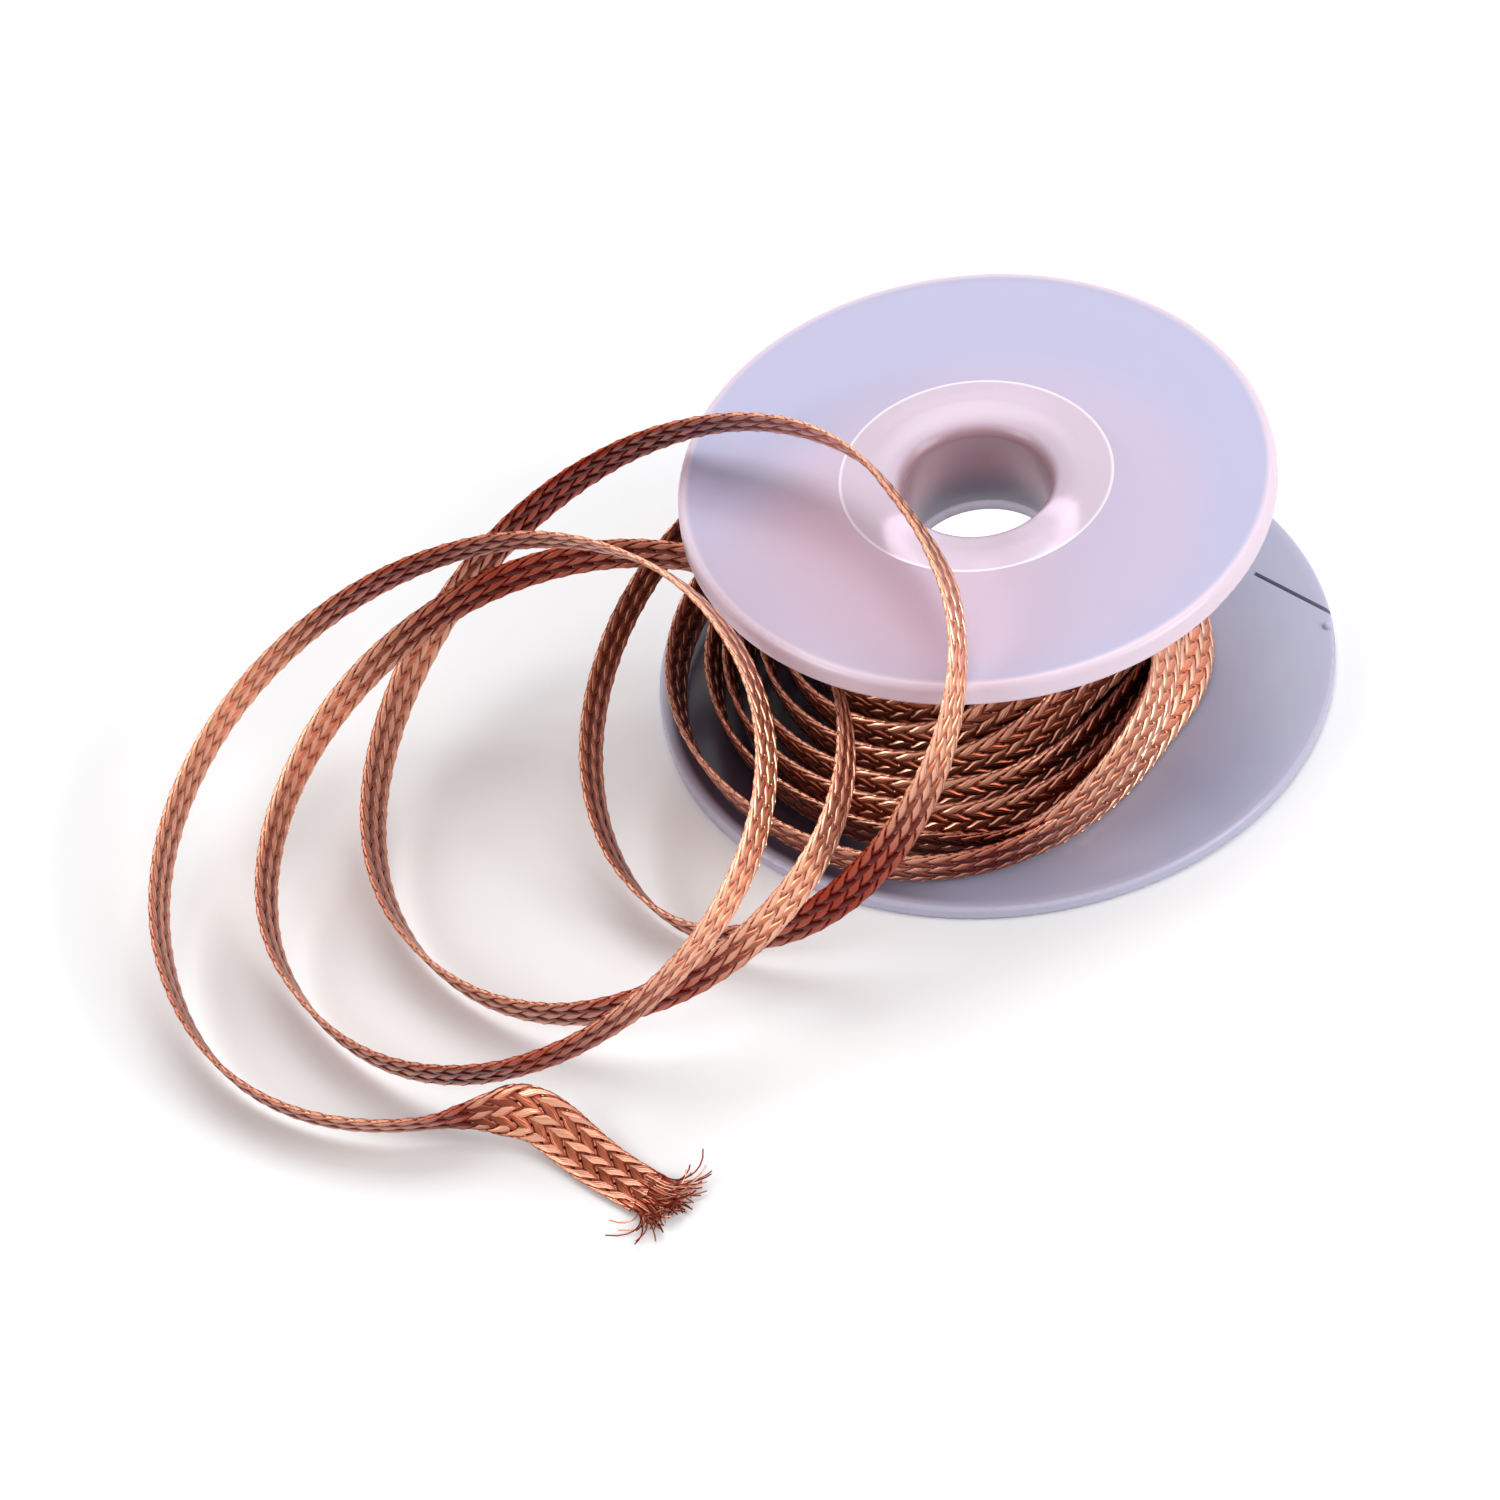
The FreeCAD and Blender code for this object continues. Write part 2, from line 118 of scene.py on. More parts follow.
PARTINGS = [
    # half turn, how far in millimetres, over how many half turns
    (1.72, -2.9, 0.3),
    (2.02, -0.8, 0.15),
    (2.9, -0.3, 0.2),
    (3.85, 0.4, 0.2),
    (4.46, -0.4, 0.25),
    (4.95, -0.5, 0.2),
    (5.3, 3.7, 0.2),
    (5.62, -0.8, 0.12),
    (6.35, -0.9, 0.14),
    (6.72, 3.5, 0.2),
]
ENTRY_MIDDLE = (16.6, 86.0, 7.8)
ENTRY_MIDDLE_SLOPE = (-2.4, -4.2)
WOUND_START = (13.7, STATION_AZIMUTH, 2.9)
TAIL_POINTS = [
    # x, y, z in millimetres, and how far the braid has fallen over: 0 stands, 90 lies
    (-25.9, -40.5, 0.36, 90.0),
    (-28.0, -38.4, 0.4, 89.0),
    (-29.6, -36.5, 0.65, 80.0),
    (-30.7, -35.2, 1.15, 72.0),
    (-31.9, -34.3, 1.85, 55.0),
    (-33.3, -34.3, 2.7, 32.0),
]
LINE_POINTS_PER_TURN = 48
LINE_ORDER = 3
LINE_RESOLUTION = 4
SLOPE_STEP = 1e-3


def eased(share):
    """0 to 1 with a level start and end."""
    return (1 - math.cos(math.pi * share)) / 2


def polar(radius, azimuth, height):
    """A point from radius, azimuth in degrees and height."""
    angle = math.radians(azimuth)
    return Vector((radius * math.cos(angle), radius * math.sin(angle), height))


def loop_point(k):
    """A point of the free loops at half turn k, in millimetres."""
    index = min(int(k), len(LOOP_STATIONS) - 2)
    share = eased(k - index)
    pairs = zip(LOOP_STATIONS[index], LOOP_STATIONS[index + 1])
    x, y, radius, mid, rise = [a + (b - a) * share for a, b in pairs]
    azimuth = STATION_AZIMUTH - 180 * k
    height = mid + rise * math.cos(math.radians(azimuth - RISE_AZIMUTH))
    apart = sum(far * math.exp(-((k - at) / over) ** 2) for at, far, over in PARTINGS)
    return Vector((x, y, height)) + polar(radius, azimuth, 0) + PART_DIRECTION * apart


def joined(start, start_slope, end, end_slope, span, share):
    """A cubic from start to end over a span, with these slopes at its ends."""
    rest = 1 - share
    value = start * (1 + 2 * share) * rest ** 2 + end * (3 - 2 * share) * share ** 2
    return value + span * (start_slope * share * rest ** 2 - end_slope * rest * share ** 2)


def entry_start():
    """Where the free loops end: radius, azimuth, height, and the slopes per radian."""
    here = loop_point(LOOPS_END_K)
    before = loop_point(LOOPS_END_K - SLOPE_STEP)
    radius = math.hypot(here.x, here.y)
    azimuth = math.degrees(math.atan2(here.y, here.x))
    step = math.atan2(before.y, before.x) - math.atan2(here.y, here.x)
    slopes = ((radius - math.hypot(before.x, before.y)) / step, (here.z - before.z) / step)
    return (radius, azimuth, here.z), slopes


def entry_point(k):
    """The stretch behind the hub, down to the outermost loosened turn."""
    start, start_slope = entry_start()
    share = (k - LOOPS_END_K) / (WOUND_K - LOOPS_END_K)
    azimuth = start[1] + (WOUND_START[1] - start[1]) * share
    knots = [(start, start_slope), (ENTRY_MIDDLE, ENTRY_MIDDLE_SLOPE), (WOUND_START, (0, 0))]
    index = 0 if azimuth > ENTRY_MIDDLE[1] else 1
    (first, first_slope), (last, last_slope) = knots[index], knots[index + 1]
    part = (first[1] - azimuth) / (first[1] - last[1])
    span = math.radians(first[1] - last[1])
    radius = joined(first[0], first_slope[0], last[0], last_slope[0], span, part)
    height = joined(first[2], first_slope[1], last[2], last_slope[1], span, part)
    return polar(radius, azimuth, height)


def free_route():
    """The route's points in metres, from the cut end to the winding."""
    points = [Vector(values[:3]) for values in TAIL_POINTS]
    turns = (WOUND_K - CREASE_K) / 2
    count = round(turns * LINE_POINTS_PER_TURN)
    for i in range(count + 1):
        k = CREASE_K + (WOUND_K - CREASE_K) * i / count
        points.append(loop_point(k) if k <= LOOPS_END_K else entry_point(k))
    return [point * MM for point in points]


def smooth_line(name, points):
    """A NURBS curve with these control points, and the points that it passes through."""
    data = bpy.data.curves.new(name, "CURVE")
    data.dimensions = "3D"
    spline = data.splines.new("NURBS")
    spline.points.add(len(points) - 1)
    for control, point in zip(spline.points, points):
        control.co = (*point, 1)
    spline.use_endpoint_u = True
    spline.order_u = LINE_ORDER
    data.resolution_u = LINE_RESOLUTION
    line = bpy.data.objects.new(name, data)
    scene.collection.objects.link(line)
    bpy.context.view_layer.update()
    mesh = bpy.data.meshes.new_from_object(line)
    passed = np.array([vertex.co for vertex in mesh.vertices], float)
    bpy.data.meshes.remove(mesh)
    bpy.data.objects.remove(line)
    bpy.data.curves.remove(data)
    return passed


free_line = smooth_line("free_line", free_route())

# %% [markdown]
# A ribbon needs more than a line: at each point it also needs the direction of its width. That
# is kept as a lean, in degrees: 0 stands upright, more tips its top in towards the middle of the
# loop and less tips it out. The leans are listed along the loops, from how wide the braid looks in
# the photograph, and smoothed between. At the cut end the braid has fallen flat on the floor, and
# behind the hub it stands upright. The tones are painted light and shade: they say how bright the
# copper looks along the loops, and are listed there.

# %% Width of the ribbon along its line
BRAID_WIDTH = 3.5 * MM
BRAID_THICKNESS = 0.42 * MM
LOOP_LEANS = [
    # half turn and lean
    (0.655, -8), (0.7, -32), (0.75, -32), (0.8, -30), (0.9, -24), (1.0, -21), (1.1, -17), (1.25, -4),
    (1.4, 12), (1.5, 22), (1.65, 31), (1.75, 32), (1.85, 37), (2.0, 31), (2.1, 20), (2.25, 4),
    (2.35, -10), (2.5, -25), (2.6, -29), (2.75, -25), (2.9, -21), (3.0, -22), (3.1, -16),
    (3.25, -2), (3.5, 12), (3.75, 16), (4.0, 15), (4.25, 12), (4.5, -3), (4.75, -23), (4.9, -23),
    (5.0, -26), (5.1, -20), (5.25, -8), (5.35, 10), (5.5, 29), (5.6, 32), (5.75, 28), (6.0, 28),
    (6.25, 28), (6.4, 10), (6.5, -4), (6.6, -12), (6.7, -16), (6.8, -20), (6.9, -27), (7.0, -28),
    (7.1, -20), (7.2, -7), (7.3, 5), (7.36, 11), (8, 0),
]
LEAN_SMOOTHING = 5
LOOP_LIGHT_TONES = [
    # half turn and tone of painted light and shade: 0 shaded, 1 lit
    (0.62, 0.65), (0.655, 0.5), (0.67, 0.1), (0.7, 0.25), (0.75, 0.5), (1.0, 0.35), (1.1, 0.45),
    (1.2, 0.6), (1.3, 0.85), (1.38, 1.0), (1.45, 0.8), (1.52, 0.3), (1.6, 0.1), (1.7, 0.3),
    (1.78, 0.6), (1.9, 0.8), (2.0, 0.7), (2.1, 0.75), (2.2, 0.9), (2.3, 1.0), (2.4, 0.7),
    (2.48, 0.3), (2.55, 0.1), (2.7, 0.3), (2.8, 0.5), (2.95, 0.6), (3.0, 0.4), (3.1, 0.5),
    (3.2, 0.75), (3.28, 1.0), (3.35, 0.95), (3.42, 0.6), (3.48, 0.3), (3.55, 0.05), (3.65, 0.15),
    (3.75, 0.4), (4.0, 0.6), (4.2, 0.65), (4.3, 0.75), (4.4, 0.95), (4.5, 0.85), (4.55, 0.5),
    (4.62, 0.1), (4.7, 0.2), (4.8, 0.5), (4.9, 0.6), (5.0, 0.4), (5.1, 0.5), (5.2, 0.8),
    (5.27, 0.95), (5.33, 0.6), (5.4, 0.1), (5.5, 0.0), (5.6, 0.3), (5.7, 0.6), (5.85, 0.8),
    (6.0, 0.6), (6.1, 0.6), (6.25, 0.8), (6.4, 1.0), (6.5, 1.0), (6.56, 0.6), (6.62, 0.1),
    (6.7, 0.0), (6.8, 0.2), (6.87, 0.6), (7.0, 0.35), (7.1, 0.6), (7.2, 0.65), (7.36, 0.6),
    (8, 0.6),
]


def spaced(points, step):
    """The same line with evenly spaced points, and how far along each one is."""
    lengths = np.linalg.norm(np.diff(points, axis=0), axis=1)
    along = np.concatenate([[0], np.cumsum(lengths)])
    count = max(2, round(along[-1] / step))
    wanted = np.linspace(0, along[-1], count + 1)
    return np.stack([np.interp(wanted, along, points[:, i]) for i in range(3)], axis=1), wanted


def unit(rows):
    """Each row scaled to length one."""
    return rows / np.linalg.norm(rows, axis=-1, keepdims=True)


def tangents_of(points):
    """The direction of the line at each point."""
    return unit(np.gradient(points, axis=0))


def leaning(tangents, leans):
    """Width directions that stand up, turned about the line by leans in degrees."""
    up = np.array([0.0, 0.0, 1.0])
    standing = unit(up - tangents * (tangents @ up)[:, None])
    aside = np.cross(tangents, standing)
    angle = np.radians(leans)[:, None]
    return standing * np.cos(angle) + aside * np.sin(angle)


def nearest(points, place):
    """Which point of the line is nearest to a place."""
    return int(np.argmin(np.linalg.norm(points - np.array(place), axis=1)))


def loop_places(points, table):
    """Which points of the line the half turns of a table belong to."""
    places = [loop_point(k) if k <= LOOPS_END_K else entry_point(k) for k, value in table]
    return [nearest(points, place * MM) for place in places]


def free_widths(points):
    """The width direction at each point of the free braid."""
    places = [nearest(points, Vector(values[:3]) * MM) for values in TAIL_POINTS]
    leans = [values[3] for values in TAIL_POINTS]
    places += loop_places(points, LOOP_LEANS)
    leans += [lean for k, lean in LOOP_LEANS]
    every = np.interp(np.arange(len(points)), places, leans)
    window = np.hanning(LEAN_SMOOTHING + 2)[1:-1]
    padded = np.pad(every, LEAN_SMOOTHING // 2, mode="edge")
    every = np.convolve(padded, window / window.sum(), mode="valid")
    return leaning(tangents_of(points), every)


# %% [markdown]
# The braid is a flattened tube woven from twenty-four bundles of fine wire, twelve running each
# way round. Each bundle goes over two and under two, so the bundles make rows along the braid:
# three bright rows on a face where they lean one way, and darker rows between them where they
# lean the other way and mirror the dark. The tube's wall is followed round with a number from 0
# to 12: the front runs from -3 to 3 and the back from 3 to 9. A bundle is a small flat tube of
# four sides along its own path, widest where it lies on top, and all bundles of a stretch are
# one mesh. Each corner keeps three values for the finish: how high the bundle lies in the weave,
# where the corner sits across its bundle, and a number that is above 0 for one way round and
# below 0 for the other, its size running from 1 for copper in painted shade to 2 for lit copper.

# %% Woven braid
CARRIERS = 12
COLUMN_ADVANCE = 1.4 * MM
STEPS_PER_COLUMN = 3
BUNDLE_WIDTH = 0.8 * MM
BUNDLE_THICKNESS = 0.12 * MM
WEAVE_LIFT = 0.05 * MM
BUNDLE_NECK = 0.4
LIFT_POWER = 0.5
EDGE_POWER = 16
EDGE_NARROWING = 0.65
EDGE_SHARPNESS = 0.97
FACE_FLATNESS = 2.6
BUNDLE_SECTION = [
    # sideways and up, as shares of the bundle's width and thickness
    (-0.5, -0.2), (-0.27, 0.4), (0.27, 0.4), (0.5, -0.2),
]


def wall_place(turned):
    """Across and through of a place round the flattened tube, and its outward normal."""
    half_width = (BRAID_WIDTH - BUNDLE_THICKNESS - WEAVE_LIFT) / 2
    half_depth = (BRAID_THICKNESS - BUNDLE_THICKNESS) / 2 - WEAVE_LIFT
    angle = turned * (2 * math.pi / CARRIERS)
    sine, cosine = np.sin(angle), np.cos(angle)
    reach = half_width / math.asin(EDGE_SHARPNESS)
    across = reach * np.arcsin(EDGE_SHARPNESS * sine)
    depth = half_depth / math.tanh(FACE_FLATNESS)
    through = depth * np.tanh(FACE_FLATNESS * cosine)
    across_slope = reach * EDGE_SHARPNESS * cosine / np.sqrt(1 - (EDGE_SHARPNESS * sine) ** 2)
    through_slope = -depth * FACE_FLATNESS * sine / np.cosh(FACE_FLATNESS * cosine) ** 2
    normal = unit(np.stack([-through_slope, across_slope], axis=1))
    return across, through, normal, sine


def mesh_of_tubes(name, rings, values):
    """One mesh from tubes; rings is tube by ring by corner by 3, values has 3 per corner."""
    tubes, count, corners = rings.shape[:3]
    ring = np.arange(count - 1)[None, :, None]
    corner = np.arange(corners)[None, None, :]
    base = np.arange(tubes)[:, None, None] * count * corners
    a = base + ring * corners + corner
    b = base + ring * corners + (corner + 1) % corners
    faces = np.stack([a, b, b + corners, a + corners], axis=-1).reshape(-1, 4)
    mesh = bpy.data.meshes.new(name)
    mesh.vertices.add(rings.size // 3)
    mesh.vertices.foreach_set("co", rings.ravel())
    mesh.loops.add(faces.size)
    mesh.loops.foreach_set("vertex_index", faces.ravel())
    mesh.polygons.add(len(faces))
    mesh.polygons.foreach_set("loop_start", np.arange(0, faces.size, 4))
    mesh.update(calc_edges=True)
    mesh.polygons.foreach_set("use_smooth", np.ones(len(faces), bool))
    kept = mesh.attributes.new("weave", "FLOAT_VECTOR", "POINT")
    kept.data.foreach_set("vector", values.ravel())
    piece = bpy.data.objects.new(name, mesh)
    scene.collection.objects.link(piece)
    print(name, "triangles", 2 * len(faces))
    return piece


def weave(name, points, widths, along, tones):
    """One mesh of the twenty-four bundles along a stretch of ribbon."""
    tangents = tangents_of(points)
    throughs = np.cross(tangents, widths)
    tubes = []
    values = []
    for way in (1, -1):
        for carrier in range(CARRIERS):
            turned = carrier + way * along / COLUMN_ADVANCE
            across, through, outward, edge = wall_place(turned)
            wave = way * np.cos(np.pi * turned)
            swell = BUNDLE_NECK + (1 - BUNDLE_NECK) * np.abs(wave)
            wave = np.sign(wave) * np.abs(wave) ** LIFT_POWER
            turning = edge ** EDGE_POWER
            lift = WEAVE_LIFT * wave * (1 - turning)
            flat = np.stack([across, through], axis=1) + outward * lift[:, None]
            path = points + widths * flat[:, :1] + throughs * flat[:, 1:]
            normal = widths * outward[:, :1] + throughs * outward[:, 1:]
            heading = tangents_of(path)
            side = unit(np.cross(heading, normal))
            normal = np.cross(side, heading) * BUNDLE_THICKNESS
            side = side * (BUNDLE_WIDTH * swell * (1 - EDGE_NARROWING * turning))[:, None]
            tubes.append([path + side * sideways + normal * up for sideways, up in BUNDLE_SECTION])
            highs = np.maximum(wave, turning)
            # The tone of painted light and shade rides on the way number.
            values.append([[(high, sideways, way * (1 + tone)) for high, tone in zip(highs, tones)]
                           for sideways, up in BUNDLE_SECTION])
    rings = np.array(tubes).transpose(0, 2, 1, 3)
    return mesh_of_tubes(name, rings, np.array(values).transpose(0, 2, 1, 3))


WEAVE_STEP = COLUMN_ADVANCE / STEPS_PER_COLUMN
points = spaced(free_line, WEAVE_STEP)[0]
along = np.arange(len(points)) * WEAVE_STEP
# The tones paint light and shade along the loops.
free_light_tones = np.interp(np.arange(len(points)), loop_places(points, LOOP_LIGHT_TONES),
                       [tone for k, tone in LOOP_LIGHT_TONES])
free_braid = weave("free_braid", points, free_widths(points), along, free_light_tones)
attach(free_braid, "braid")
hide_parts("braid_loops", "braid_entry", "braid_tail")

# %% [markdown]
# The braid on the hub. On the right its turns are stacked close to the hub; on the left they
# have sprung open and nest like bowls. Each turn has a radius and a height on either side. In
# front they grow and fall between two azimuths, and behind the hub they blend into the next turn.

# %% Turns on the hub
WOUND_TURNS = [
    # radius and height on the right, then on the left, in millimetres; then the azimuths in
    # front, in degrees to the left of the right-hand side, where the radius changes and where
    # the height changes
    (12.9, 2.8, 20.6, 2.95, 33, 125, 33, 125),
    (10.9, 6.4, 18.05, 3.0, 5, 100, 55, 98),
    (11.7, 2.95, 16.95, 3.5, 30, 115, 30, 100),
    (10.5, 3.1, 15.8, 4.3, 40, 120, 40, 110),
    (9.9, 6.9, 14.5, 5.1, 50, 130, 45, 115),
    (9.9, 10.5, 13.3, 6.0, 60, 140, 50, 120),
    (9.9, 13.9, 12.2, 7.0, 75, 150, 60, 130),
    (9.5, 3.1, 9.5, 3.0, 90, 155, 70, 140),
]
WOUND_LEANS = [
    # how far each turn's top leans in on the right and on the left, in degrees, and the azimuths
    # where that changes
    (33, -18, 5, 105),
    (33, -15, 5, 105),
    (12, -12, 100, 155),
]
START_BLEND = 0.12
WOUND_LIGHT_TONES = [
    # tone of painted light and shade at azimuths to the left of the right-hand side, for the two
    # outermost turns and then for all deeper ones
    ((-20, 45, 78, 97, 112, 150, 180, 340), (1.0, 1.0, 0.75, 0.2, 0.6, 0.7, 0.6, 0.4)),
    ((-20, 60, 95, 115, 150, 180, 340), (0.5, 0.6, 0.55, 0.75, 0.7, 0.5, 0.4)),
]


def turned_share(azimuth, first, last):
    """0 before the first azimuth, 1 after the last, eased between."""
    return eased(min(max((azimuth - first) / (last - first), 0), 1))


def wound_values(k):
    """Radius, height and lean at half turn k of the winding, counted from its start."""
    turn = min(int(k / 2), len(WOUND_TURNS) - 1)
    part = k / 2 - turn
    r1, z1, r2, z2, open_from, open_to, fall_from, fall_to = WOUND_TURNS[turn]
    lean1, lean2, lean_from, lean_to = WOUND_LEANS[min(turn, len(WOUND_LEANS) - 1)]
    if part <= 0.5:
        azimuth = part * 360 - STATION_AZIMUTH
        radius = r1 + (r2 - r1) * turned_share(azimuth, open_from, open_to)
        height = z1 + (z2 - z1) * turned_share(azimuth, fall_from, fall_to)
        lean = lean1 + (lean2 - lean1) * turned_share(azimuth, lean_from, lean_to)
    else:
        after = WOUND_TURNS[min(turn + 1, len(WOUND_TURNS) - 1)]
        share = eased(2 * part - 1)
        next_lean = WOUND_LEANS[min(turn + 1, len(WOUND_LEANS) - 1)][0]
        radius = r2 + (after[0] - r2) * share
        height = z2 + (after[1] - z2) * share
        lean = lean2 + (next_lean - lean2) * share
    start = math.exp(-(k / START_BLEND) ** 2)
    radius += (WOUND_START[0] - radius) * start
    height += (WOUND_START[2] - height) * start
    return radius, height, lean * (1 - start)


def wound_stretch(name, first, last):
    """The woven braid between two half turns of the winding."""
    ks = np.linspace(first, last, round((last - first) * LINE_POINTS_PER_TURN))
    values = np.array([wound_values(k) for k in ks])
    line = [polar(r, STATION_AZIMUTH - 180 * k, z) * MM for k, (r, z, lean) in zip(ks, values)]
    points, along = spaced(np.array(line), WEAVE_STEP)
    way = np.concatenate([[0], np.cumsum(np.linalg.norm(np.diff(np.array(line), axis=0), axis=1))])
    widths = leaning(tangents_of(points), np.interp(along, way, values[:, 2]))
    # Painted light and shade along the turns, read from the table by azimuth.
    tones = [np.interp(k % 2 * 180 - STATION_AZIMUTH, *WOUND_LIGHT_TONES[min(int(k / 4), 1)]) for k in ks]
    tones = np.interp(along, way, tones)
    return weave(name, points, widths, np.arange(len(points)) * WEAVE_STEP, tones)


outer_turns = wound_stretch("outer_turns_woven", 0, 6)
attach(outer_turns, "braid")
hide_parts("loosened_turns")
deeper_turns = wound_stretch("inner_turns_woven", 6, 15)
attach(deeper_turns, "braid")
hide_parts("inner_turns")

# %% [markdown]
# The cut end has come apart. Its fine wires leave the braid in a flat fan, each with its own
# length and curl.

# %% Frayed end
FRAYED_WIRES = 96
WIRE_DIAMETER = 0.1 * MM
FRAY_LENGTH = 3.2 * MM
FRAY_SPREAD = math.radians(15)
FRAY_STEPS = 14
WIRE_SIDES = 5
FRAY_SEED = 7
SHORTEST_WIRE = 0.45
LENGTH_POWER = 0.7
TURN_SCATTER = 0.16
CURL_SCATTER = 0.55
WIRE_RISE = (-0.05, 0.3)
ROOT_REACH = 0.45
ROOT_HEIGHTS = (-0.3, 0.8)
ROOT_STEP = 0.2 * MM
WIRE_ROOT = -0.35
WIRE_SHADES = (-0.6, 1.0)
WIRE_WAY = 1.7


def frayed_end(name, end, outward, width, up):
    """A fan of fine wires at the cut end."""
    chance = np.random.default_rng(FRAY_SEED)
    angles = np.linspace(0, 2 * math.pi, WIRE_SIDES, endpoint=False)
    tubes = []
    shades = []
    for wire in range(FRAYED_WIRES):
        place = 2 * (wire + chance.uniform(0, 1)) / FRAYED_WIRES - 1
        length = FRAY_LENGTH * chance.uniform(SHORTEST_WIRE, 1.0) ** LENGTH_POWER
        turn = FRAY_SPREAD * place + chance.normal(0, TURN_SCATTER)
        curl = chance.normal(0, CURL_SCATTER)
        rise = chance.uniform(*WIRE_RISE)
        start = end + width * (place * BRAID_WIDTH * ROOT_REACH)
        start = start + up * (chance.uniform(*ROOT_HEIGHTS) * ROOT_STEP)
        along = np.linspace(WIRE_ROOT, 1, FRAY_STEPS)[:, None]
        bend = turn * np.clip(along * 2, 0, 1) + curl * np.clip(along, 0, 1) ** 2
        path = start + length * along * (outward * np.cos(bend) + width * np.sin(bend))
        path = path + up * (length * rise * np.clip(along, 0, 1) ** 2)
        path[:, 2] = np.maximum(path[:, 2], WIRE_DIAMETER)
        heading = tangents_of(path)
        side = unit(np.cross(heading, up))
        other = np.cross(heading, side)
        tubes.append([path + (side * math.cos(a) + other * math.sin(a)) * (WIRE_DIAMETER / 2)
                      for a in angles])
        shades.append((chance.uniform(*WIRE_SHADES), 0.0, chance.choice((-WIRE_WAY, WIRE_WAY))))
    rings = np.array(tubes).transpose(0, 2, 1, 3)
    values = np.array(shades)[:, None, None, :] * np.ones((*rings.shape[:3], 1))
    return mesh_of_tubes(name, rings, values)


braid_widths = free_widths(points)
end_out = unit(points[0] - points[3])
end_width = unit(braid_widths[0] - end_out * (braid_widths[0] @ end_out))
end_up = np.cross(end_out, end_width)
end_up = end_up * np.sign(end_up[2])
frayed = frayed_end("frayed_wires", points[0], end_out, end_width, end_up)
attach(frayed, "braid")
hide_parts(*[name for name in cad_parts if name.startswith("frayed_bundle")])

# %% [markdown]
# Finishes are built from small pieces of shader arithmetic. A value in a shader is wrapped so
# that it can be added and multiplied like a number. On copper light bounces between the wires, so
# a bundle is bright on top and a deep red where it dives under its neighbours; here that deep red
# is painted shade. Fine ridges along a bundle stand for single wires.

# %% Finishes


class Value:
    """A value inside a shader that can be worked with like a number."""

    def __init__(self, finish, socket):
        self.finish = finish
        self.socket = socket

    def combined(self, operation, other):
        node = self.finish.node("ShaderNodeMath", operation=operation)
        self.finish.feed(node.inputs[0], self)
        self.finish.feed(node.inputs[1], other)
        return Value(self.finish, node.outputs[0])

    def __add__(self, other):
        return self.combined("ADD", other)

    def __sub__(self, other):
        return self.combined("SUBTRACT", other)

    def __mul__(self, other):
        return self.combined("MULTIPLY", other)

    def power(self, other):
        return self.combined("POWER", other)

    def sine(self):
        return self.combined("SINE", 0.0)

    def ramp(self, low, high):
        """0 at low and below, 1 at high and above, smooth between."""
        node = self.finish.node("ShaderNodeMapRange", interpolation_type="SMOOTHSTEP")
        self.finish.feed(node.inputs["Value"], self)
        node.inputs["From Min"].default_value = low
        node.inputs["From Max"].default_value = high
        return Value(self.finish, node.outputs["Result"])

    def colours(self, first, second):
        """A blend from the first colour at 0 to the second at 1."""
        node = self.finish.node("ShaderNodeMix", data_type="RGBA")
        self.finish.feed(node.inputs[0], self)
        self.finish.feed(node.inputs[6], first)
        self.finish.feed(node.inputs[7], second)
        return Value(self.finish, node.outputs[2])


class Finish:
    """A material with one main shader."""

    def __init__(self, name, **settings):
        self.material = bpy.data.materials.new(name)
        self.material.use_nodes = True
        self.tree = self.material.node_tree
        self.shader = self.tree.nodes["Principled BSDF"]
        for title, value in settings.items():
            self.feed(self.shader.inputs[title.replace("_", " ").title().replace("Ior", "IOR")], value)

    def node(self, kind, **settings):
        node = self.tree.nodes.new(kind)
        for title, value in settings.items():
            setattr(node, title, value)
        return node

    def feed(self, socket, value):
        """Links a shader value to a socket, or sets a plain one on it."""
        if isinstance(value, Value):
            self.tree.links.new(value.socket, socket)
        elif isinstance(value, tuple) and len(value) == 3 and socket.type == "RGBA":
            socket.default_value = (*value, 1.0)
        else:
            socket.default_value = value

    def parts(self, source, output):
        """The three numbers of a source node's vector."""
        node = self.node("ShaderNodeSeparateXYZ")
        self.tree.links.new(source.outputs[output], node.inputs[0])
        return [Value(self, socket) for socket in node.outputs]

    def kept(self, title):
        """The three numbers that a mesh keeps under a title."""
        return self.parts(self.node("ShaderNodeAttribute", attribute_name=title), "Vector")

    def place(self):
        """The object's own x, y and z in metres."""
        return self.parts(self.node("ShaderNodeTexCoord"), "Object")

    def noise(self, size, detail=2.0):
        """Cloudy values around a half, with blobs of this size in millimetres."""
        node = self.node("ShaderNodeTexNoise")
        self.tree.links.new(self.node("ShaderNodeTexCoord").outputs["Object"], node.inputs["Vector"])
        node.inputs["Scale"].default_value = 1 / (size * MM)
        node.inputs["Detail"].default_value = detail
        return Value(self, node.outputs["Fac"])

    def set(self, title, value):
        self.feed(self.shader.inputs[title], value)

    def bump(self, height, strength, distance):
        node = self.node("ShaderNodeBump")
        node.inputs["Strength"].default_value = strength
        node.inputs["Distance"].default_value = distance
        self.feed(node.inputs["Height"], height)
        self.set("Normal", Value(self, node.outputs["Normal"]))


print("shader helpers ready")

# %% [markdown]
# Copper that follows the weave. The way round gives two families of bundles. On the real braid one
# of them mirrors the dark, and here it is simply given darker copper, a painted reflection of the
# dark. Copper in painted shade and lit copper are mixed by the tone, which is painted light and
# shade along the braid and stays on it when the braid turns. What dives under its neighbours goes
# to a deep red, which is painted shade.

# %% Woven copper
WIRES_PER_BUNDLE = 5
